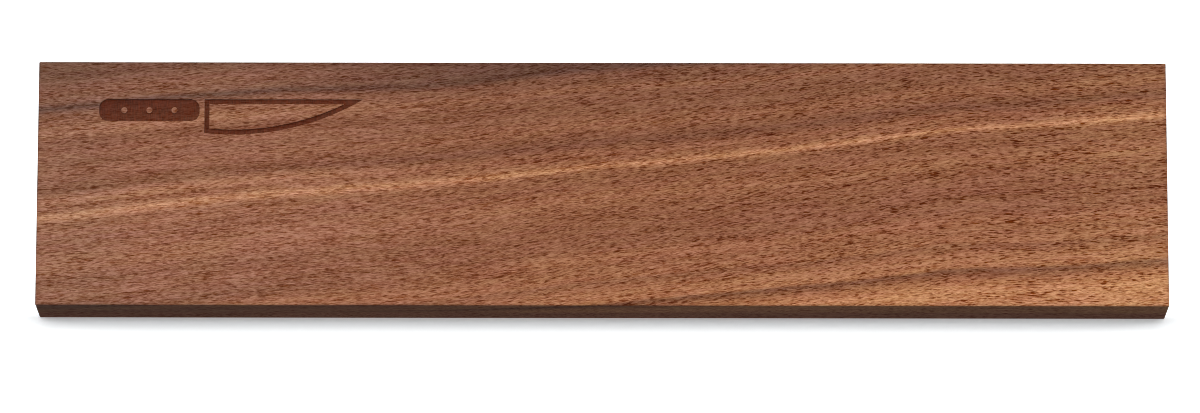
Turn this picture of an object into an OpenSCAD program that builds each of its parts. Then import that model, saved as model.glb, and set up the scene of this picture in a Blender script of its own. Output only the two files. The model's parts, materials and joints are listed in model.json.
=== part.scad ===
// Wall-mounted magnetic knife holder: two laminated walnut boards with two rows of magnets between
// them. X runs along the board, Z up the wall, and Y points into the wall. The origin is on the wall
// plane, in the middle of the board, so the board fills negative Y.

/* [Board] */
// Length of the board along the wall
board_length = 500; // [480:10:600]
// Height of the board up the wall
board_height = 110; // [108:2:140]
// Thickness of the back board, next to the wall
back_thickness = 14; // [14:0.5:20]
// Wood left between the magnets and the front face
front_skin = 3; // [2.5:0.5:5]
// Radius that eases the front edges and the outline's corners
front_ease = 0.5; // [0.2:0.1:1]
// Radius that rounds the edges at the wall side
back_ease = 1.5; // [0.5:0.1:2.5]

/* [Magnets] */
// Diameter of one disc magnet
magnet_d = 20; // [15:1:20]
// Thickness of one disc magnet
magnet_t = 10; // [5:1:12]
// Number of magnets in each row
magnets_per_row = 10; // [6:2:10]
// Distance from one magnet to the next
magnet_pitch = 44; // [36:1:44]
// Height of the upper row above the middle, and depth of the lower row below it
row_z = 27; // [25:1:28]
// Gap all round a magnet or yoke strip in its pocket
pocket_gap = 0.2; // [0.1:0.1:0.4]
// Thickness of the glue between a magnet and the front skin
glue_gap = 0.1; // [0.05:0.05:0.2]

/* [Yoke strips] */
// Width of the steel strip behind each row of magnets
yoke_width = 24; // [22:1:24]
// Thickness of the steel strip
yoke_t = 3; // [2:0.5:4]
// Length of strip past the last magnet's centre
yoke_overhang = 20; // [12:1:20]

/* [Keyhole hangers] */
// Distance between the two keyholes
hanger_spacing = 400; // [300:10:400]
// Width of a hanger plate
hanger_width = 18; // [18:1:24]
// Height of a hanger plate
hanger_height = 52; // [52:1:58]
// Thickness of a hanger plate
hanger_t = 2; // [2:0.5:3]
// Height of a hanger's middle above the middle of the board
hanger_z = 20; // [15:1:22]
// Diameter of the hole that the wall screw's head goes through
entry_d = 10; // [9:0.5:11]
// Width of the slot that the wall screw's shank rises in
slot_width = 5; // [4:0.5:6]
// Distance from the entry hole's centre to the slot's upper end
slot_rise = 11; // [9:0.5:12]
// Depth of the pocket behind the plate for the wall screw's head
head_room = 8; // [5:0.5:8]

/* [Screws, dowels and pads] */
// Thread diameter of the screws that join the two boards
assembly_screw_d = 4; // [3.5:0.5:4.5]
// Length of the screws that join the two boards
assembly_screw_length = 25; // [20:1:26]
// Thread diameter of the screws in the yoke strips and hanger plates
small_screw_d = 3; // [2.5:0.5:3]
// Length of the screws in the yoke strips and hanger plates
small_screw_length = 12; // [8:1:12]
// Diameter of a locating dowel
dowel_d = 8; // [6:1:10]
// Length of a locating dowel
dowel_length = 20; // [16:1:22]
// Diameter of a wall pad
pad_d = 12; // [10:1:14]
// Thickness of a wall pad
pad_t = 2; // [1.5:0.5:3]
// How far a wall pad stands out of the back board
pad_proud = 0.5; // [0.2:0.1:1]

/* [Knife mark] */
// Overall length of the engraved knife
mark_length = 117; // [90:1:130]
// Depth of the blade at its heel
mark_blade_height = 16; // [12:1:20]
// Width of the line round the blade
mark_stroke = 2.2; // [1.5:0.1:2.5]
// Depth of the engraving
mark_depth = 0.8; // [0.3:0.1:1.2]
// Distance from the middle of the board to the mark's middle, to the left
mark_left = 164.5; // [150:0.5:180]
// Height of the mark's middle above the middle of the board
mark_z = 30; // [20:1:34]

/* [Hidden] */

$fn = 64;
cut = 1;            // how far a cutter reaches past the surface that it opens
wood_gap = 0.05;    // radial gap round a dowel or a screw thread in wood
metal_gap = 0.1;    // radial gap round a screw in a metal plate or a clearance hole
ease_steps = 3;     // flats along each eased edge
sunk = 0.5;         // how far the assembly screws' heads lie below the back board's face
end_room = 0.5;     // how much deeper a hole is than the screw or dowel in it

// Places on a hanger plate, from its own middle
entry_drop = 5;
hanger_screw_reach = 20;
head_play = 3;      // how much wider the wall screw's head pocket is than the entry hole

// Distances in from the ends and from the long edges of the board
assembly_inset_x = 25;
assembly_inset_z = 8.5;
dowel_inset = 15;
pad_inset_x = 11;
pad_inset_z = 12;

// Depths, from the wall towards the front
back_y = -pad_proud;
seam_y = back_y - back_thickness;
yoke_front_y = seam_y - yoke_t;
magnet_front_y = yoke_front_y - magnet_t;
pocket_front_y = magnet_front_y - glue_gap;
front_y = pocket_front_y - front_skin + glue_gap;
sunk_head_y = back_y - sunk;

// Places across the board
yoke_length = (magnets_per_row - 1) * magnet_pitch + 2 * yoke_overhang;
yoke_screw_xs = [
    for (i = [0 : 2 : magnets_per_row - 2]) (i - (magnets_per_row - 2) / 2) * magnet_pitch
];
assembly_reach_x = board_length / 2 - assembly_inset_x;
assembly_screw_xs = assembly_reach_x * [-1, -1 / 3, 1 / 3, 1];
assembly_screw_z = board_height / 2 - assembly_inset_z;
dowel_x = board_length / 2 - dowel_inset;
pad_x = board_length / 2 - pad_inset_x;
pad_z = board_height / 2 - pad_inset_z;
entry_z = hanger_z - entry_drop;
slot_top_z = entry_z + slot_rise;
hanger_x = hanger_spacing / 2;
hanger_screw_zs = [hanger_z - hanger_screw_reach, hanger_z + hanger_screw_reach];
pocket_d = entry_d + head_play;

// Colours
front_walnut = [0.55, 0.36, 0.26];
back_walnut = [0.45, 0.29, 0.21];
beech = [0.80, 0.65, 0.46];
zinc = [0.70, 0.71, 0.72];
steel = [0.55, 0.56, 0.58];
nickel = [0.78, 0.76, 0.72];
silicone = [0.22, 0.22, 0.23];

function magnet_x(i) = (i - (magnets_per_row + 1) / 2) * magnet_pitch;

function on_circle(r, angle) = r * [cos(angle), sin(angle)];

// One corner of an eased rectangle, as points on a quarter circle from the given angle
function corner(x, y, r, angle) = r == 0 ? [[x, y]] : [
    for (i = [0 : ease_steps]) [x, y] + on_circle(r, angle + i * 90 / ease_steps)
];

// Rectangle from y_low to y_high, half_width each side of x = 0, with its own radius at each end
module eased_rectangle(half_width, y_low, y_high, r_low, r_high) {
    polygon(concat(
        corner(half_width - r_high, y_high - r_high, r_high, 0),
        corner(-half_width + r_high, y_high - r_high, r_high, 90),
        corner(-half_width + r_low, y_low + r_low, r_low, 180),
        corner(half_width - r_low, y_low + r_low, r_low, 270)
    ));
}

// Extrudes an outline drawn in X and Z from one depth to a deeper one, towards the front
module along_y(y_from, y_to) {
    translate([0, y_from, 0]) rotate([90, 0, 0]) linear_extrude(y_from - y_to) children();
}

// Turns what is drawn along +Z so that it points from the wall towards the front
module facing_front(x, y, z) {
    translate([x, y, z]) rotate([90, 0, 0]) children();
}

// Flat bar with round ends, along X, centred
module round_ended_bar(length, width) {
    square([length - width, width], center = true);
    for (side = [-1, 1]) translate([side * (length - width) / 2, 0]) circle(d = width);
}

// Board between two depths, eased at its own faces and square at the seam
module eased_board(y_back, y_front, r_back, r_front) {
    intersection() {
        linear_extrude(board_height, center = true)
            eased_rectangle(board_length / 2, y_front, y_back, r_front, r_back);
        rotate([0, -90, 0]) linear_extrude(board_length, center = true)
            eased_rectangle(board_height / 2, y_front, y_back, r_front, r_back);
        along_y(y_back, y_front)
            eased_rectangle(board_length / 2, -board_height / 2, board_height / 2, front_ease, front_ease);
    }
}

// Six-lobed drive, as the outline of its recess
module drive_outline(r) {
    lobes = 6;
    lobe_r = 0.28 * r;
    circle(r = 0.74 * r);
    for (i = [1 : lobes]) rotate(i * 360 / lobes) translate([r - lobe_r, 0]) circle(r = lobe_r);
}

// Proportions of a countersunk wood screw of thread diameter d
function screw_head_r(d) = d;
function screw_rim(d) = 0.1 * d;                        // straight edge of the head
function screw_cone_end(d) = screw_rim(d) + d / 2;      // where the head's cone meets the shank

// Countersunk wood screw along +Z with its head's face at z = 0
module wood_screw(d, length) {
    core_r = 0.36 * d;
    pitch = 0.45 * d;
    crest = 0.6 * pitch;
    tip = 1.2 * d;
    drive_r = 0.5 * d;
    drive_depth = 0.45 * d;
    thread_start = screw_cone_end(d) + pitch;
    turns = floor((length - tip - thread_start) / pitch);
    difference() {
        rotate_extrude() polygon(concat(
            [[0, 0], [screw_head_r(d), 0], [screw_head_r(d), screw_rim(d)], [d / 2, screw_cone_end(d)]],
            [[d / 2, thread_start - pitch / 4], [core_r, thread_start]],
            [for (i = [0 : turns - 1], point = [[d / 2, crest], [core_r, pitch]])
                [point[0], thread_start + i * pitch + point[1]]],
            [[core_r, length - tip], [0, length]]
        ));
        translate([0, 0, -cut]) linear_extrude(cut + drive_depth) drive_outline(drive_r);
    }
}

// What a countersunk screw needs cut away for its head and shank, with its head's face at z = 0
module screw_clearance(d, depth, gap) {
    head_r = screw_head_r(d) + gap;
    translate([0, 0, -cut]) cylinder(r = head_r, h = cut + screw_rim(d));
    translate([0, 0, screw_rim(d)]) cylinder(r1 = head_r, r2 = d / 2 + gap, h = d / 2);
    cylinder(r = d / 2 + gap, h = depth);
}

// Blind hole that a screw's thread sits in, with its head's face at z = 0
module screw_hole(d, length) {
    cylinder(d = d + 2 * wood_gap, h = length + end_room);
}

module at_magnets() {
    for (z = [-row_z, row_z], i = [1 : magnets_per_row]) translate([magnet_x(i), 0, z]) children();
}

module at_yoke_screws() {
    for (z = [-row_z, row_z], x = yoke_screw_xs) facing_front(x, seam_y, z) children();
}

module at_assembly_screws() {
    for (z = [-assembly_screw_z, assembly_screw_z], x = assembly_screw_xs)
        facing_front(x, sunk_head_y, z) children();
}

module at_hanger_screws() {
    for (x = [-hanger_x, hanger_x], z = hanger_screw_zs) facing_front(x, back_y, z) children();
}

module at_pads() {
    facing_front(0, 0, 0) children();
    for (x = [-pad_x, pad_x], z = [-pad_z, pad_z]) facing_front(x, 0, z) children();
}

module dowel_hole(x) {
    facing_front(x, seam_y + dowel_length / 2 + end_room, 0)
        cylinder(d = dowel_d + 2 * wood_gap, h = dowel_length + 2 * end_room);
}

// Keyhole in X and Z: a round entry with a narrower slot above it
module keyhole_outline(entry, slot) {
    translate([0, entry_z]) circle(d = entry);
    translate([0, slot_top_z]) circle(d = slot);
    translate([-slot / 2, entry_z]) square([slot, slot_rise]);
}

// Line of one stroke's width inside the edge of the outline
module inner_line() {
    difference() {
        children();
        offset(delta = -mark_stroke) children();
    }
}

// Kitchen knife in X and Z: solid handle on the left, round three rivets, and the blade in outline
module knife_mark() {
    handle_length = 0.38 * mark_length;
    handle_height = 0.62 * mark_blade_height;
    handle_round = 0.4 * handle_height;
    rivets = 3;
    rivet_r = 0.6 * mark_stroke;
    blade_length = mark_length - handle_length - mark_stroke;
    belly_from_heel = 0.18 * blade_length;
    belly_reach = blade_length - belly_from_heel;
    belly_r = (pow(belly_reach, 2) + pow(mark_blade_height, 2)) / (2 * mark_blade_height);
    translate([-mark_left - mark_length / 2, mark_z + mark_blade_height / 2]) {
        difference() {
            offset(r = handle_round) offset(delta = -handle_round)
                translate([0, -handle_height]) square([handle_length, handle_height]);
            for (i = [1 : rivets])
                translate([i * handle_length / (rivets + 1), -handle_height / 2]) circle(r = rivet_r);
        }
        translate([mark_length - blade_length, 0]) inner_line() intersection() {
            translate([0, -mark_blade_height]) square([blade_length, mark_blade_height]);
            translate([belly_from_heel, belly_r - mark_blade_height]) circle(r = belly_r, $fn = 180);
        }
    }
}

// Front board, with the magnet pockets, the yoke grooves and the screw holes open at its back face
module front_board() {
    color(front_walnut) difference() {
        eased_board(seam_y, front_y, 0, front_ease);
        for (z = [-row_z, row_z]) translate([0, 0, z]) along_y(seam_y + cut, yoke_front_y)
            round_ended_bar(yoke_length + 2 * pocket_gap, yoke_width + 2 * pocket_gap);
        at_magnets() facing_front(0, seam_y, 0)
            cylinder(d = magnet_d + 2 * pocket_gap, h = seam_y - pocket_front_y);
        at_yoke_screws() screw_hole(small_screw_d, small_screw_length);
        at_assembly_screws() screw_hole(assembly_screw_d, assembly_screw_length);
        for (side = [-1, 1]) dowel_hole(side * dowel_x);
        along_y(front_y + mark_depth, front_y - cut) knife_mark();
    }
}

// Back board, with the hanger recesses, the pockets for the wall screws' heads and the pad seats
module back_board() {
    color(back_walnut) difference() {
        eased_board(back_y, seam_y, back_ease, 0);
        at_assembly_screws()
            screw_clearance(assembly_screw_d, back_thickness + cut, metal_gap);
        for (x = [-hanger_x, hanger_x]) translate([x, 0, 0]) {
            translate([0, 0, hanger_z]) along_y(back_y + cut, back_y - hanger_t) rotate(90)
                round_ended_bar(hanger_height + 2 * pocket_gap, hanger_width + 2 * pocket_gap);
            along_y(back_y, back_y - hanger_t - head_room) keyhole_outline(pocket_d, pocket_d);
        }
        at_hanger_screws() screw_hole(small_screw_d, small_screw_length);
        at_pads() cylinder(d = pad_d + 2 * metal_gap, h = pad_t);
        for (side = [-1, 1]) dowel_hole(side * dowel_x);
    }
}

module yoke_strip(z) {
    color(steel) difference() {
        translate([0, 0, z]) along_y(seam_y, yoke_front_y) round_ended_bar(yoke_length, yoke_width);
        at_yoke_screws() screw_clearance(small_screw_d, yoke_t + cut, metal_gap);
    }
}

module magnet(x, z) {
    edge = 0.4;
    r = magnet_d / 2;
    color(nickel) facing_front(x, yoke_front_y, z) rotate_extrude() polygon([
        [0, 0], [r - edge, 0], [r, edge], [r, magnet_t - edge], [r - edge, magnet_t], [0, magnet_t]
    ]);
}

module keyhole_hanger(x) {
    color(zinc) difference() {
        along_y(back_y, back_y - hanger_t) translate([x, 0]) difference() {
            translate([0, hanger_z]) rotate(90) round_ended_bar(hanger_height, hanger_width);
            keyhole_outline(entry_d, slot_width);
        }
        at_hanger_screws() screw_clearance(small_screw_d, hanger_t + cut, metal_gap);
    }
}

module dowel(x) {
    edge = 0.8;
    r = dowel_d / 2;
    color(beech) facing_front(x, seam_y + dowel_length / 2, 0) rotate_extrude() polygon([
        [0, 0], [r - edge, 0], [r, edge], [r, dowel_length - edge], [r - edge, dowel_length],
        [0, dowel_length]
    ]);
}

module wall_pad(x, z) {
    edge = 0.3;
    r = pad_d / 2;
    color(silicone) facing_front(x, 0, z) rotate_extrude() polygon([
        [0, 0], [r - edge, 0], [r, edge], [r, pad_t], [0, pad_t]
    ]);
}

module yoke_screws() {
    color(zinc) at_yoke_screws() wood_screw(small_screw_d, small_screw_length);
}

module hanger_screws() {
    color(zinc) at_hanger_screws() wood_screw(small_screw_d, small_screw_length);
}

module assembly_screws() {
    color(zinc) at_assembly_screws() wood_screw(assembly_screw_d, assembly_screw_length);
}

front_board();
back_board();
yoke_strip(row_z);  // upper_yoke_strip
yoke_strip(-row_z);  // lower_yoke_strip
yoke_screws();
keyhole_hanger(-hanger_x);  // left_keyhole_hanger
keyhole_hanger(hanger_x);  // right_keyhole_hanger
hanger_screws();
assembly_screws();
dowel(-dowel_x);  // left_dowel
dowel(dowel_x);  // right_dowel
wall_pad(0, 0);  // centre_wall_pad
wall_pad(-pad_x, pad_z);  // upper_left_wall_pad
wall_pad(pad_x, pad_z);  // upper_right_wall_pad
wall_pad(-pad_x, -pad_z);  // lower_left_wall_pad
wall_pad(pad_x, -pad_z);  // lower_right_wall_pad
for (i = [1 : magnets_per_row]) {
    magnet(magnet_x(i), row_z);
    magnet(magnet_x(i), -row_z);
}
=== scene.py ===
"""Looks for the wall-mounted magnetic knife holder: procedural walnut, steel, nickel, beech and silicone
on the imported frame, hung on a white wall and seen from the front and slightly below."""
import json
import math

import bpy
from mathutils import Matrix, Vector


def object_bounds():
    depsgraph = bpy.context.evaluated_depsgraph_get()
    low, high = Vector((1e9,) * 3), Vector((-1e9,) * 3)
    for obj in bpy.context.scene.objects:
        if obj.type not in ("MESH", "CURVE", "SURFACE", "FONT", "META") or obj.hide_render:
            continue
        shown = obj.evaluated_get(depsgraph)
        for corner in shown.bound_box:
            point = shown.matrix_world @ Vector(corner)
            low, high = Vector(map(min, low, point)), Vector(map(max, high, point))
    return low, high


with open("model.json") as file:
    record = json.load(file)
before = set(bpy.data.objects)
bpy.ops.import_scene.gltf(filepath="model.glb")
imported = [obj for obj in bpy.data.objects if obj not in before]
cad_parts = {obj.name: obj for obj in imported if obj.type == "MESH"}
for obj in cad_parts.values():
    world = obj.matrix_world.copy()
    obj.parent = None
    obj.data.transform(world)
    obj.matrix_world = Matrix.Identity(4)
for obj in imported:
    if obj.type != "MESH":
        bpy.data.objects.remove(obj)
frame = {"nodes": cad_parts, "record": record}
cad_low, cad_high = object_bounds()

MM = 0.001
FRONT_Y = cad_low.y / MM          # the face that the knives lie against, in mm
BOARD_HALF_X = cad_high.x / MM
BOARD_HALF_Z = cad_high.z / MM
WHITE = (1, 1, 1, 1)

# The photograph's view: straight on across the board, and a little below it. Distances are in metres.
VIEW_BELOW_DEG = 12.03
VIEW_DISTANCE = 3.3
VIEW_ROLL_DEG = 0.08
FRAME_WIDTH = 0.53038             # what the picture's width covers at the front face
AIM_OFFSET = Vector((-0.00101, 0, -0.01035))  # from the middle of the front face
SENSOR_WIDTH = 36.0               # in mm
PIXEL_FILTER = 1.0                # in pixels, fine enough to keep the pores crisp

# Where the Mix node keeps the sockets that it uses for colours
MIX_FACTOR, MIX_A, MIX_B = 0, 6, 7
MIX_RESULT = 2

# Noise seldom goes past these values
NOISE_LOW = 0.3
NOISE_HIGH = 0.7


def linear(red, green, blue):
    """A display colour, from 0 to 255, as the linear colour that shaders use, by the sRGB standard."""
    def channel(value):
        value /= 255
        return value / 12.92 if value <= 0.04045 else ((value + 0.055) / 1.055) ** 2.4
    return (channel(red), channel(green), channel(blue), 1.0)


class Graph:
    """The nodes of one material or world. Most methods add a node and return the socket that carries on
    from it, and what they are given may be sockets or constants."""

    def __init__(self, owner):
        owner.use_nodes = True
        self.owner = owner
        self.tree = owner.node_tree

    def feed(self, socket, value):
        """Links a socket to the input, or sets a constant on it."""
        if isinstance(value, bpy.types.NodeSocket):
            self.tree.links.new(value, socket)
        else:
            socket.default_value = value

    def add(self, kind, inputs, output=0, **settings):
        """A new node with the given settings and inputs. output picks the socket that is returned."""
        node = self.tree.nodes.new(kind)
        for name, value in settings.items():
            setattr(node, name, value)
        for name, value in inputs.items():
            self.feed(node.inputs[name], value)
        return node.outputs[output]

    def math(self, operation, a, b=0.0, c=0.0):
        return self.add("ShaderNodeMath", {0: a, 1: b, 2: c}, operation=operation)

    def vector(self, operation, a, b):
        return self.add("ShaderNodeVectorMath", {0: a, 1: b}, operation=operation)

    def scale(self, vector, factor):
        return self.add("ShaderNodeVectorMath", {0: vector, "Scale": factor}, operation="SCALE")

    def split(self, vector, axis):
        return self.add("ShaderNodeSeparateXYZ", {0: vector}, "XYZ".index(axis))

    def join(self, x, y, z):
        return self.add("ShaderNodeCombineXYZ", {0: x, 1: y, 2: z})

    def place(self):
        """The point on the object, in millimetres in the row frame."""
        return self.scale(self.add("ShaderNodeTexCoord", {}, "Object"), 1 / MM)

    def stretch(self, vector, lengths, offset):
        """The vector in units of the given lengths, so that a pattern of size 1 gets those lengths."""
        return self.add("ShaderNodeMapping", {
            "Vector": vector, "Location": offset, "Scale": [1 / length for length in lengths],
        })

    def noise(self, vector, lengths, offset=(0, 0, 0), detail=2.0, roughness=0.5, output=0):
        """Noise from 0 to 1 whose features have the given lengths in X, Y and Z."""
        place = self.stretch(vector, lengths, offset)
        inputs = {"Vector": place, "Scale": 1.0, "Detail": detail, "Roughness": roughness}
        return self.add("ShaderNodeTexNoise", inputs, output)

    def total(self, base, parts):
        """The base plus each pattern times its amount, from (pattern, amount) pairs."""
        for pattern, amount in parts:
            base = self.math("MULTIPLY_ADD", pattern, amount, base)
        return base

    def tone(self, parts):
        """One half, plus each pattern's swing about its own middle times its amount."""
        level = 0.5
        for pattern, amount in parts:
            level = self.math("ADD", level, self.math("MULTIPLY_ADD", pattern, amount, -amount / 2))
        return level

    def swing(self, pattern, amount):
        """1 plus or minus the amount, from a pattern that averages one half."""
        return self.math("MULTIPLY_ADD", pattern, 2 * amount, 1 - amount)

    def span(self, value, low, high, to_low=0.0, to_high=1.0, kind="SMOOTHSTEP"):
        """to_low where the value is low, to_high where it is high, and a smooth or LINEAR step between."""
        inputs = {"Value": value, "From Min": low, "From Max": high, "To Min": to_low, "To Max": to_high}
        return self.add("ShaderNodeMapRange", inputs, interpolation_type=kind)

    def mix(self, factor, a, b):
        inputs = {MIX_FACTOR: factor, MIX_A: a, MIX_B: b}
        return self.add("ShaderNodeMix", inputs, MIX_RESULT, data_type="RGBA")

    def ramp(self, value, stops, interpolation="LINEAR"):
        """Colour from (position, colour) stops, with positions from 0 to 1 in rising order."""
        colour = self.add("ShaderNodeValToRGB", {0: value})
        colour_ramp = colour.node.color_ramp
        colour_ramp.interpolation = interpolation
        while len(colour_ramp.elements) < len(stops):
            colour_ramp.elements.new(0.5)
        for element, (position, stop_colour) in zip(colour_ramp.elements, stops):
            element.position = position
            element.color = stop_colour
        return colour

    def bump(self, height, depth_mm, strength):
        inputs = {"Height": height, "Distance": depth_mm * MM, "Strength": strength}
        return self.add("ShaderNodeBump", inputs)

    def finish(self, **inputs):
        """The material, once its shader's inputs are fed. An underscore stands for a space in a name."""
        shader = self.tree.nodes["Principled BSDF"]
        for name, value in inputs.items():
            self.feed(shader.inputs[name.replace("_", " ")], value)
        return self.owner


def material_graph(name):
    return Graph(bpy.data.materials.new(name))


# ---------------------------------------------------------------- walnut
# Heights, places, depths and lengths are in mm.

GRAIN_RISE_DEG = 5.57             # the grain rises to the right
PITH = (150.0, -250.0)            # middle of the tree, behind and below the board, in Y and Z
BAND_REACH = 82.0                 # the bands are listed this far above and below the middle
FAN_FROM = 9.0                    # above this height the bands draw together towards the right
FAN_RATE = 0.0006
TAIL_FROM = 100.0                 # right of this place the bands below that height level out
TAIL_RATE = 0.0002
BEND_LEAN_DEG = 1.25              # the fibres rise this much more steeply than the bands,
BEND_SWING_DEG = 2.75             # and up to this much more or less, on one slow wave
BEND_LENGTH = 480.0
BEND_MIDDLE = 30.0                # where along the board they rise the most

# Curls: (place along the grain, how far it swings above its straight line there)
GRAIN_CURLS = [(-240, -0.8), (-145, 1.3), (-65, -0.9), (0, 0.4), (80, 0.0), (153, 1.6), (200, -0.6)]
CURL_REACH = 250.0                # the places lie within this distance from the middle
CURL_MOST = 2.0                   # and the swings within this height

# Patterns in the wood: the lengths of their features along the grain, into the board and up across it
WAVES = (150, 60, 60)
RIPPLES = (22, 5, 5)
RINGS = (240, 2.2, 1)             # along the grain and from ring to ring
CLOUDS = (38, 6, 6)
STRANDS = (14, 1.1, 1.1)
FIBRES = (3.0, 0.45, 0.45)
PATCHES = (22, 2.6, 2.6)
LONG_PORES = (6.4, 0.74, 0.74)
SHORT_PORES = (3.6, 0.54, 0.54)

# Shifts that keep patterns from repeating each other, and the back board from repeating the front one
PATCH_OFFSET = (7, 3, 5)
LONG_PORE_OFFSET = (0, 0, 0)
SHORT_PORE_OFFSET = (31, 17, 9)
FRONT_OFFSET = (0, 0, 0)
BACK_OFFSET = (90, 40, 9)

# How far the waves and the ripples push the grain off its line, from one side to the other
WAVE_PUSH = 4.0
RIPPLE_PUSH = 1.3

# How much each pattern moves the tone
RING_TONE = 0.42
CLOUD_TONE = 0.25
STRAND_TONE = 0.78
FIBRE_TONE = 2.5

# What the darkest and the lightest tone do to the wood's own colour, and what pink and orange patches do
SHADE_DARK = (0.56, 0.31, 0.10, 1)
SHADE_LIGHT = (1.44, 1.69, 1.90, 1)
PINK_TINT = (1.015, 1.015, 1.10, 1)
ORANGE_TINT = (0.98, 1.04, 0.985, 1)

# Vessels. How wide they are depends on the patterns: (from, to, width at from, width at to)
PORE_SIZE = 0.43                  # widest vessel, in the lengths of its pattern
PORE_SMALLEST = 0.5               # smallest vessel, as a part of the widest
PORE_CORE = 0.6                   # how far out a vessel is fully dark, in its own radius
PORE_EDGE = 1.05                  # and where it ends
PORES_BY_RING = (NOISE_HIGH, NOISE_LOW, 0.85, 1.1)
PORES_BY_CLOUD = (NOISE_HIGH, NOISE_LOW, 0.85, 1.12)
PORES_BY_RED = (0.30, 0.46, 1.0, 0.85)
PORES_BY_FIBRE = -1.1             # swing of their width, narrower where the fibres are pale
SHORT_PORE_DEPTH = 0.85
PORE_FADE = (-150.0, 200.0, 0.64, 1.0)  # the vessels are fainter towards the left end
PORE_SHADE = (0.37, 0.14, 0.0)    # what a vessel leaves of the colour

# End grain: how much a face looks along the board where it begins and where it is complete, and its shade
END_FROM = 0.6
END_FULL = 0.9
END_SHADE = 0.62

# Surface of the oiled wood
WOOD_ROUGHNESS = 0.5
FIBRE_ROUGHNESS = 0.12
PORE_ROUGHNESS = 0.25
FIBRE_RELIEF = 0.35               # height of the fibres, where a vessel is 1 deep
WOOD_SPECULAR = 0.12

# Growth bands of the front board: height where each crosses the middle of the front face, and colour.
# One list holds at the left end and the other from the middle to the right end.
FRONT_BANDS_LEFT = [
    (-80, (150, 99, 73)), (-60, (158, 105, 77)), (-44, (142, 91, 67)), (-40, (155, 102, 73)),
    (-34, (136, 90, 69)), (-26, (147, 97, 74)), (-20, (141, 93, 71)), (-14, (154, 102, 77)),
    (-8, (151, 100, 76)), (-2, (145, 95, 73)), (2, (153, 101, 77)), (4.8, (146, 97, 72)),
    (6.0, (158, 107, 79)), (7.4, (176, 121, 90)), (8.7, (180, 126, 93)), (10.2, (156, 104, 78)),
    (12, (148, 97, 72)), (14.2, (162, 109, 81)), (15.7, (155, 104, 78)), (17.9, (134, 88, 66)),
    (25, (144, 94, 71)), (29, (136, 89, 67)), (32, (144, 94, 72)), (36.8, (131, 84, 62)),
    (38.4, (140, 91, 68)), (40.2, (153, 103, 77)), (44, (146, 97, 73)), (48, (132, 86, 66)),
    (50.8, (98, 67, 55)), (53, (130, 87, 68)), (57, (134, 88, 68)), (63.5, (113, 75, 58)),
]
FRONT_BANDS_RIGHT = [
    (-75, (170, 114, 79)), (-72, (177, 119, 83)), (-63, (179, 121, 83)), (-59.5, (158, 101, 68)),
    (-57.6, (143, 91, 63)), (-55, (121, 77, 55)), (-53.6, (164, 108, 74)), (-48, (156, 101, 70)),
    (-44.4, (138, 88, 62)), (-42.5, (155, 100, 70)), (-38, (147, 94, 66)), (-34, (153, 98, 69)),
    (-29, (138, 87, 62)), (-20, (137, 86, 61)), (-12, (141, 90, 63)), (-6.6, (150, 97, 68)),
    (-1, (138, 87, 61)), (4.6, (138, 88, 61)), (6.0, (154, 101, 70)), (7.3, (181, 125, 89)),
    (8.5, (164, 109, 76)), (10.0, (146, 94, 66)), (14, (141, 89, 63)), (18.2, (119, 74, 53)),
    (23, (134, 85, 60)), (26.5, (143, 92, 65)), (32, (129, 82, 58)), (40.5, (130, 83, 60)),
    (43, (139, 90, 64)), (45.2, (125, 80, 58)), (49, (122, 78, 58)), (51.8, (93, 61, 48)),
]
# Where the left list gives way to the right one, along the grain
FRONT_BLEND = (-190.0, 0.0)

# The front board is a little greyer at its left end and paler at its right one: where along the grain each
# tint begins and where it is complete, and the tint
LEFT_END = (-200.0, -230.0)
LEFT_TINT = (0.935, 0.98, 1.0, 1)
RIGHT_END = (192.0, 222.0)
RIGHT_TINT = (1.09, 1.15, 1.12, 1)

# Growth bands of the back board, from a darker and redder plank
BACK_BANDS = [
    (-80, (156, 98, 72)), (-62, (144, 89, 66)), (-48, (163, 104, 76)), (-41, (126, 78, 59)),
    (-35, (156, 98, 72)), (-20, (166, 107, 78)), (-8, (142, 89, 67)), (4, (160, 102, 75)),
    (11, (172, 114, 84)), (15, (132, 82, 62)), (24, (154, 97, 71)), (38, (144, 89, 66)),
    (47, (165, 108, 79)), (58, (136, 84, 63)), (70, (156, 99, 73)),
]


def ring_of(height):
    """Distance from the pith to the given height on the front face."""
    return math.hypot(FRONT_Y - PITH[0], height - PITH[1])


def band_stops(bands):
    low, high = ring_of(-BAND_REACH), ring_of(BAND_REACH)
    return [((ring_of(height) - low) / (high - low), linear(*colour)) for height, colour in bands]


def front_bands(g, ring, along):
    left = g.ramp(ring, band_stops(FRONT_BANDS_LEFT))
    right = g.ramp(ring, band_stops(FRONT_BANDS_RIGHT))
    colour = g.mix(g.span(along, *FRONT_BLEND), left, right)
    for end, tint in ((LEFT_END, LEFT_TINT), (RIGHT_END, RIGHT_TINT)):
        colour = g.vector("MULTIPLY", colour, g.mix(g.span(along, *end), WHITE, tint))
    return colour


def back_bands(g, ring, _):
    return g.ramp(ring, band_stops(BACK_BANDS))


def wandering_grain(g, place, offset):
    """The place along the grain, into the board and up across the grain, which waves and ripples sway."""
    turned = g.add("ShaderNodeMapping", {
        "Vector": place, "Rotation": (0, math.radians(GRAIN_RISE_DEG), 0), "Location": offset,
    })
    waves = g.noise(turned, WAVES, detail=1.0, output="Color")
    ripples = g.noise(turned, RIPPLES, output="Color")
    grain = turned
    for pattern, push in ((waves, WAVE_PUSH), (ripples, RIPPLE_PUSH)):
        centred = g.vector("SUBTRACT", pattern, (0.5, 0.5, 0.5))
        grain = g.vector("ADD", grain, g.vector("MULTIPLY", centred, (0, push, push)))
    return grain


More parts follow.
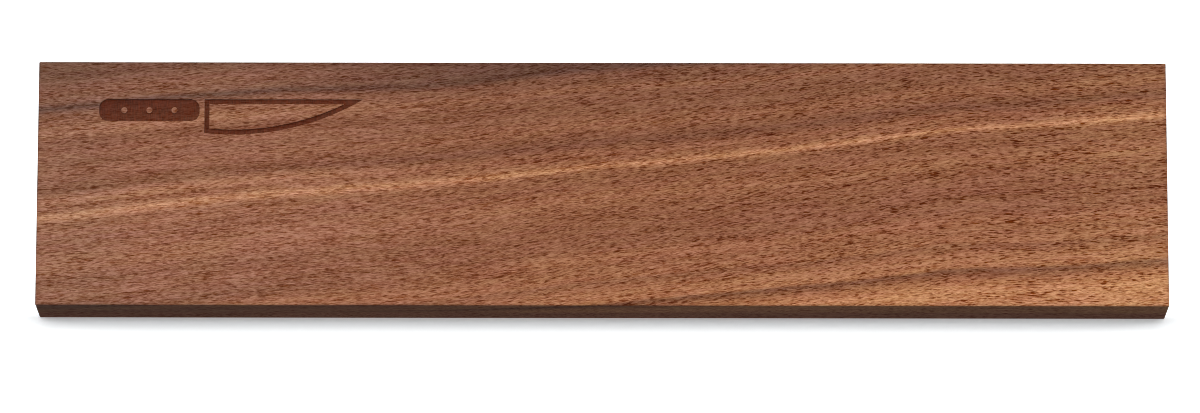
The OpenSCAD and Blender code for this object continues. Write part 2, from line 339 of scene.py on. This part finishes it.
def curl(g, along):
    """How high the curls lift the grain at a place along it, from a ramp of greys that stand for heights."""
    stops = []
    for place, height in GRAIN_CURLS:
        grey = 0.5 + height / (2 * CURL_MOST)
        stops.append(((place + CURL_REACH) / (2 * CURL_REACH), (grey, grey, grey, 1)))
    level = g.ramp(g.span(along, -CURL_REACH, CURL_REACH, kind="LINEAR"), stops, "EASE")
    return g.math("MULTIPLY_ADD", level, 2 * CURL_MOST, -CURL_MOST)


def ring_distance(g, along, deep, high):
    """Distance from the pith, which is the same all along one growth ring."""
    above = g.math("MAXIMUM", g.math("SUBTRACT", high, FAN_FROM), 0.0)
    below = g.math("MINIMUM", g.math("SUBTRACT", high, FAN_FROM), 0.0)
    tail = g.math("MAXIMUM", g.math("SUBTRACT", along, TAIL_FROM), 0.0)
    fanned = g.math("ADD", high, g.math("MULTIPLY", above, g.math("MULTIPLY", along, FAN_RATE)))
    fanned = g.math("ADD", fanned, g.math("MULTIPLY", below, g.math("MULTIPLY", tail, -TAIL_RATE)))
    across = g.join(0.0, g.math("SUBTRACT", deep, PITH[0]), g.math("SUBTRACT", fanned, PITH[1]))
    return g.add("ShaderNodeVectorMath", {0: across}, "Value", operation="LENGTH")


def fibre_height(g, along, high):
    """Height for the fibres and vessels, which bend a little more than the bands, most in the middle."""
    slope = math.tan(math.radians(BEND_LEAN_DEG))
    turn = 2 * math.pi / BEND_LENGTH
    wave_height = math.tan(math.radians(BEND_SWING_DEG)) / turn
    wave = g.math("SINE", g.math("MULTIPLY_ADD", along, turn, -turn * BEND_MIDDLE))
    bend = g.math("MULTIPLY_ADD", along, -slope, g.math("MULTIPLY", wave, -wave_height))
    return g.math("ADD", high, bend)


def pores(g, grain, lengths, offset, size, widening):
    """Cut vessels, as short dark dashes along the grain: 1 in a pore and 0 in the wood round it."""
    cells = {"Vector": g.stretch(grain, lengths, offset), "Scale": 1.0, "Randomness": 1.0}
    distance = g.add("ShaderNodeTexVoronoi", cells, "Distance")
    luck = g.split(distance.node.outputs["Color"], "X")
    smallest = PORE_SMALLEST * size
    radius = g.math("MULTIPLY", g.math("MULTIPLY_ADD", luck, size - smallest, smallest), widening)
    return g.span(g.math("DIVIDE", distance, radius), PORE_CORE, PORE_EDGE, 1.0, 0.0)


def vessels(g, fine, rings, clouds, fibres, red):
    """Pores in two lengths, wider in some rings than in others and narrower in the pale streaks."""
    widening = g.math("MULTIPLY", g.span(rings, *PORES_BY_RING), g.span(clouds, *PORES_BY_CLOUD))
    widening = g.math("MULTIPLY", widening, g.span(red, *PORES_BY_RED))
    widening = g.math("MULTIPLY", widening, g.swing(fibres, PORES_BY_FIBRE))
    long_pores = pores(g, fine, LONG_PORES, LONG_PORE_OFFSET, PORE_SIZE, widening)
    short_pores = pores(g, fine, SHORT_PORES, SHORT_PORE_OFFSET, PORE_SIZE, widening)
    return g.math("MAXIMUM", long_pores, g.math("MULTIPLY", short_pores, SHORT_PORE_DEPTH))


def walnut(name, bands, offset):
    """Oiled walnut as a solid texture, so that the bands on the faces run on over the edges and the ends.
    bands turns (graph, position across the rings, position along the grain) into a colour. Returns the
    graph, the place, the colour and the shader's other inputs."""
    g = material_graph(name)
    place = g.place()
    grain = wandering_grain(g, place, offset)
    along, deep, high = (g.split(grain, axis) for axis in "XYZ")
    high = g.math("SUBTRACT", high, curl(g, along))
    ring = ring_distance(g, along, deep, high)
    band = bands(g, g.span(ring, ring_of(-BAND_REACH), ring_of(BAND_REACH), kind="LINEAR"), along)
    fine = g.join(along, deep, fibre_height(g, along, high))

    rings = g.noise(g.join(along, ring, 0.0), RINGS, detail=3.0, roughness=0.6)
    clouds = g.noise(grain, CLOUDS)
    strands = g.noise(fine, STRANDS, roughness=0.6)
    fibres = g.noise(fine, FIBRES, roughness=0.7)
    tone = g.tone([(rings, RING_TONE), (clouds, CLOUD_TONE), (strands, STRAND_TONE), (fibres, FIBRE_TONE)])
    colour = g.vector("MULTIPLY", band, g.mix(tone, SHADE_DARK, SHADE_LIGHT))

    patches = g.noise(fine, PATCHES, PATCH_OFFSET, roughness=0.55)
    hue = g.span(patches, NOISE_LOW, NOISE_HIGH)
    colour = g.vector("MULTIPLY", colour, g.mix(hue, PINK_TINT, ORANGE_TINT))

    pore = vessels(g, fine, rings, clouds, fibres, g.split(band, "X"))
    depth = g.math("MULTIPLY", pore, g.span(along, *PORE_FADE))
    colour = g.mix(depth, colour, g.vector("MULTIPLY", colour, PORE_SHADE))

    # End grain drinks more oil and looks darker
    facing = g.math("ABSOLUTE", g.split(g.add("ShaderNodeNewGeometry", {}, "Normal"), "X"))
    colour = g.scale(colour, g.span(facing, END_FROM, END_FULL, 1.0, END_SHADE))

    relief = g.math("SUBTRACT", g.math("MULTIPLY", fibres, FIBRE_RELIEF), pore)
    surface = {
        "Roughness": g.total(WOOD_ROUGHNESS, [(fibres, FIBRE_ROUGHNESS), (pore, PORE_ROUGHNESS)]),
        "Normal": g.bump(relief, depth_mm=0.12, strength=0.5),
        "Specular_IOR_Level": WOOD_SPECULAR,
    }
    return g, place, colour, surface


RIM_WIDTH = 2.0                   # how far in from the front face's outline the painted shade of its eased edges reaches
# what the painted shade along the outline leaves of the colour
RIM_PAINTED_SHADE = 0.88
FACE_DEPTH = 0.3                  # what lies less deep than this counts as the front face
MARK_LOW = (-224.0, 21.0)         # the engraved knife's box in X and Z
MARK_HIGH = (-105.0, 39.0)
MARK_BOTTOM = 1.0                 # depth that is a little below the engraving's floor
SCORCH_FROM = 0.05                # depth where its walls begin to be scorched
SCORCH_FULL = 0.35                # and where they are fully so
SCORCH = linear(76, 28, 10)
SOOT = (0.5, 1, 3)                # lengths of the soot's smears
SOOT_SWING = 1.2
WOOD_IN_SCORCH = 0.14             # how much of the wood's colour still shows


def painted_rim_shade(g, place):
    """1 over most of the front face, and less close to its outline: painted shade of the eased edges."""
    past_side = g.math("ADD", g.math("ABSOLUTE", g.split(place, "X")), RIM_WIDTH - BOARD_HALF_X)
    past_edge = g.math("ADD", g.math("ABSOLUTE", g.split(place, "Z")), RIM_WIDTH - BOARD_HALF_Z)
    rim = g.span(g.math("MAXIMUM", past_side, past_edge), 0.0, RIM_WIDTH)
    on_front = g.math("LESS_THAN", g.split(place, "Y"), FRONT_Y + FACE_DEPTH)
    return g.span(g.math("MULTIPLY", rim, on_front), 0.0, 1.0, 1.0, RIM_PAINTED_SHADE, "LINEAR")


def in_mark(g, place):
    """1 on the floor and walls of the engraving, and 0 everywhere else on the board."""
    x, y, z = (g.split(place, axis) for axis in "XYZ")
    inside = g.span(y, FRONT_Y + SCORCH_FROM, FRONT_Y + SCORCH_FULL)
    tests = [
        ("GREATER_THAN", x, MARK_LOW[0]), ("LESS_THAN", x, MARK_HIGH[0]),
        ("GREATER_THAN", z, MARK_LOW[1]), ("LESS_THAN", z, MARK_HIGH[1]),
        ("LESS_THAN", y, FRONT_Y + MARK_BOTTOM),
    ]
    for operation, value, limit in tests:
        inside = g.math("MULTIPLY", inside, g.math(operation, value, limit))
    return inside


def front_walnut():
    """The front board's wood, with painted shade close to its outline, and the engraving scorched."""
    g, place, colour, surface = walnut("front_walnut", front_bands, FRONT_OFFSET)
    # painted shade along the outline of the front face, where its eased edges are
    colour = g.scale(colour, painted_rim_shade(g, place))
    soot = g.noise(place, SOOT, roughness=0.6)
    burnt = g.mix(WOOD_IN_SCORCH, g.scale(SCORCH[:3], g.swing(soot, SOOT_SWING)), colour)
    return g.finish(Base_Color=g.mix(in_mark(g, place), colour, burnt), **surface)


def back_walnut():
    """The back board's wood, from another plank."""
    g, _, colour, surface = walnut("back_walnut", back_bands, BACK_OFFSET)
    return g.finish(Base_Color=colour, **surface)


# ---------------------------------------------------------------- metal, beech and silicone

def zinc_plate():
    """Bright zinc on screws and hanger plates: faintly blue, with spangle, rub marks and light scratches."""
    g = material_graph("zinc_plate")
    place = g.place()
    spangles_per_mm = 0.9
    spangle = g.add("ShaderNodeTexVoronoi", {"Vector": place, "Scale": spangles_per_mm}, "Color")
    patch = g.split(spangle, "X")
    cloud = g.noise(place, lengths=(5, 5, 5), detail=3.0, roughness=0.6)
    scratches = g.noise(place, lengths=(0.12, 3, 9), roughness=0.7)
    blue_grey, bright = linear(188, 193, 200), linear(216, 216, 211)
    return g.finish(
        Base_Color=g.scale(g.mix(cloud, blue_grey, bright), g.swing(patch, amount=0.07)),
        Metallic=1.0,
        Roughness=g.total(base=0.26, parts=[(patch, 0.08), (cloud, 0.22)]),
        Normal=g.bump(scratches, depth_mm=0.02, strength=0.35),
    )


def yoke_steel():
    """Cold-rolled strip with rolling lines along its length and a few darker oil stains."""
    g = material_graph("yoke_steel")
    place = g.place()
    lines = g.noise(place, lengths=(60, 1, 0.25), detail=3.0, roughness=0.6)
    stain_noise = g.noise(place, lengths=(18, 8, 8), detail=3.0, roughness=0.6)
    stains = g.span(stain_noise, low=0.45, high=0.75)
    clean, stained = linear(160, 162, 165), linear(118, 113, 106)
    return g.finish(
        Base_Color=g.scale(g.mix(stains, clean, stained), g.swing(lines, amount=0.12)),
        Metallic=1.0,
        Roughness=g.total(base=0.25, parts=[(lines, 0.15), (stains, 0.2)]),
        Normal=g.bump(lines, depth_mm=0.01, strength=0.5),
    )


def magnet_nickel():
    """Nickel plating on the disc magnets: warm and bright, with fine orange-peel and smudges."""
    g = material_graph("magnet_nickel")
    place = g.place()
    peel = g.noise(place, lengths=(0.6, 0.6, 0.6))
    smudge = g.noise(place, lengths=(6, 6, 6), detail=3.0, roughness=0.6)
    dull, bright = linear(206, 199, 186), linear(222, 217, 207)
    return g.finish(
        Base_Color=g.mix(smudge, dull, bright),
        Metallic=1.0,
        Roughness=g.span(smudge, NOISE_LOW, NOISE_HIGH, to_low=0.09, to_high=0.26),
        Normal=g.bump(peel, depth_mm=0.01, strength=0.3),
    )


def beech():
    """Turned beech dowel: pale straight grain along Y with short brown flecks."""
    g = material_graph("beech")
    place = g.place()
    grain = g.noise(place, lengths=(0.5, 14, 0.5), detail=3.0, roughness=0.6)
    fleck = pores(g, place, lengths=(0.7, 2.2, 0.7), offset=(0, 0, 0), size=0.3, widening=1.0)
    dark, pale, brown = linear(196, 158, 112), linear(226, 193, 150), linear(150, 104, 66)
    fleck_strength = 0.6
    return g.finish(
        Base_Color=g.mix(g.math("MULTIPLY", fleck, fleck_strength), g.mix(grain, dark, pale), brown),
        Roughness=0.62,
        Normal=g.bump(g.math("SUBTRACT", grain, fleck), depth_mm=0.05, strength=0.5),
    )


def silicone():
    """Dark grey moulded silicone with a fine matt texture and a little dust."""
    g = material_graph("silicone")
    place = g.place()
    grit = g.noise(place, lengths=(0.25, 0.25, 0.25), roughness=0.6)
    dust_noise = g.noise(place, lengths=(2.5, 2.5, 2.5), detail=3.0, roughness=0.6)
    dust = g.span(dust_noise, low=0.5, high=0.8)
    clean, dusty = linear(52, 52, 54), linear(74, 73, 71)
    return g.finish(
        Base_Color=g.mix(dust, clean, dusty),
        Roughness=g.total(base=0.5, parts=[(grit, 0.2)]),
        Normal=g.bump(grit, depth_mm=0.03, strength=0.5),
        Specular_IOR_Level=0.4,
    )


def paint_nodes():
    """Gives each CAD node the material of its slot in the record."""
    makers = (front_walnut, back_walnut, zinc_plate, yoke_steel, magnet_nickel, beech, silicone)
    materials = {maker.__name__: maker() for maker in makers}
    for subpart in frame["record"]["subparts"]:
        mesh = frame["nodes"][subpart["node"]].data
        mesh.materials.clear()
        mesh.materials.append(materials[subpart["material_slot"]])


# ---------------------------------------------------------------- wall, floor, lights and camera

SQUARE = ((-1, -1), (1, -1), (1, 1), (-1, 1))  # its corners in turn, each at 1 from the middle
WALL_GAP = 0.0002                 # keeps the wall clear of the pads' faces
WALL_HALF_X = 4.0
WALL_HALF_Z = 3.0
FLOOR_HALF = 8.0
FLOOR_Z = -1.1

# Light that the wall and the floor give off. The wall's keeps it clean white, and it is weak only in a
# strip at the board's foot, where the shadow shows. The strip's heights are in mm.
FLOOR_GLOW = 0.6
GLOW_CLEAR = 1.0
GLOW_SHADOWED = 0.29
STRIP_TOP = 4.0                   # the glow is clear from this far above the foot, and weakest at the foot
STRIP_DEPTH = 8.0                 # it stays weakest down to this far below the foot
STRIP_BOTTOM = 22.0               # and is clear again from here down
WALL_TINT = (0.87, 0.957, 1.0, 1)  # makes up for the brown light that the board throws on the wall

FILL = 0.19                       # even light from all round
ROOM_LOW = 0.20                   # brightness of the room that glossy surfaces reflect, level and below
ROOM_HIGH = 0.75                  # and overhead
ROOM_TOP = 0.9                    # upward part of a direction that counts as overhead

# Area lights: place, and width and height, in metres, and watts
LIGHTS = {
    "front_light": ((0, -2.2, 0.165), (1.6, 0.45), 33.4),
    "top_light": ((0, -1.4, 1.5), (1.8, 0.9), 7.3),
    "left_light": ((-2.5, -1.2, 0.5), (0.8, 0.8), 16.5),
    "right_light": ((2.5, -1.2, 0.5), (0.8, 0.8), 16.5),
    "back_light": ((0.4, 2.0, 1.4), (1.6, 1.0), 48),
}
NOT_REFLECTED = "front_light"     # glossy surfaces don't show this one


def stage_plane(name, corners, glow, tint):
    """A matt white rectangle that isn't part of the object. The camera alone sees it, and only from its
    front, so that the object can be looked at from the other side. glow turns a graph into a strength."""
    mesh = bpy.data.meshes.new(name)
    mesh.from_pydata(corners, [], [(0, 1, 2, 3)])
    plane = bpy.data.objects.new(name, mesh)
    bpy.context.scene.collection.objects.link(plane)
    plane.visible_diffuse = False
    plane.visible_glossy = False
    g = material_graph(name)
    mesh.materials.append(g.finish(
        Base_Color=WHITE, Roughness=1.0, Specular_IOR_Level=0.0,
        Emission_Color=tint, Emission_Strength=glow(g),
    ))
    shader = g.tree.nodes["Principled BSDF"].outputs[0]
    clear = g.add("ShaderNodeBsdfTransparent", {})
    behind = g.add("ShaderNodeNewGeometry", {}, "Backfacing")
    seen = g.add("ShaderNodeMixShader", {0: behind, 1: shader, 2: clear})
    g.feed(g.tree.nodes["Material Output"].inputs[0], seen)
    return plane


def wall_glow(g):
    """Weak only in the strip at the board's foot."""
    foot = -BOARD_HALF_Z
    height = g.split(g.place(), "Z")
    above = g.span(height, foot, foot + STRIP_TOP, GLOW_SHADOWED, GLOW_CLEAR)
    below = g.span(height, foot - STRIP_DEPTH, foot - STRIP_BOTTOM, GLOW_SHADOWED, GLOW_CLEAR)
    return g.math("MAXIMUM", above, below)


def floor_glow(_):
    return FLOOR_GLOW


def make_wall_and_floor():
    wall_y = cad_high.y + WALL_GAP
    wall_corners = [(x * WALL_HALF_X, wall_y, z * WALL_HALF_Z) for x, z in SQUARE]
    wall = stage_plane("wall", wall_corners, wall_glow, WALL_TINT)
    wall.visible_shadow = False
    floor_corners = [(x * FLOOR_HALF, y * FLOOR_HALF, FLOOR_Z) for x, y in SQUARE]
    stage_plane("floor", floor_corners, floor_glow, WHITE)


def area_light(name, place, size, watts):
    """A soft light aimed at the middle of the object, which the camera can't see."""
    light = bpy.data.lights.new(name, "AREA")
    light.shape = "RECTANGLE"
    light.size, light.size_y = size
    light.energy = watts
    lamp = bpy.data.objects.new(name, light)
    bpy.context.scene.collection.objects.link(lamp)
    lamp.location = place
    lamp.rotation_euler = (-Vector(place)).to_track_quat("-Z", "Y").to_euler()
    lamp.visible_camera = False
    lamp.visible_glossy = name != NOT_REFLECTED


def make_world():
    """White to the camera, a shaded room to reflections, and a weak fill to everything else."""
    world = bpy.data.worlds.new("studio")
    bpy.context.scene.world = world
    g = Graph(world)
    upward = g.split(g.add("ShaderNodeTexCoord", {}, "Generated"), "Z")
    path = g.tree.nodes.new("ShaderNodeLightPath").outputs
    level = g.math("MULTIPLY_ADD", path["Is Glossy Ray"], -FILL, FILL)
    room = g.span(upward, 0.0, ROOM_TOP, ROOM_LOW, ROOM_HIGH)
    level = g.math("ADD", level, g.math("MULTIPLY", path["Is Glossy Ray"], room))
    level = g.math("MAXIMUM", level, path["Is Camera Ray"])
    background = g.tree.nodes["Background"].inputs
    g.feed(background["Strength"], level)
    g.feed(background["Color"], WHITE)


def make_stage():
    make_wall_and_floor()
    for name, (place, size, watts) in LIGHTS.items():
        area_light(name, place, size, watts)
    make_world()
    bpy.context.scene.view_settings.view_transform = "Standard"
    bpy.context.scene.cycles.filter_width = PIXEL_FILTER


def make_camera():
    camera = bpy.data.cameras.new("camera")
    camera.sensor_width = SENSOR_WIDTH
    camera.lens = SENSOR_WIDTH * VIEW_DISTANCE / FRAME_WIDTH
    holder = bpy.data.objects.new("camera", camera)
    bpy.context.scene.collection.objects.link(holder)
    below = math.radians(VIEW_BELOW_DEG)
    away = Vector((0, -math.cos(below), -math.sin(below)))
    target = Vector((0, cad_low.y, 0)) + AIM_OFFSET
    holder.location = target + away * VIEW_DISTANCE
    holder.rotation_euler = (-away).to_track_quat("-Z", "Y").to_euler()
    holder.rotation_euler.rotate_axis("Z", math.radians(VIEW_ROLL_DEG))
    bpy.context.scene.camera = holder


paint_nodes()
make_stage()
make_camera()
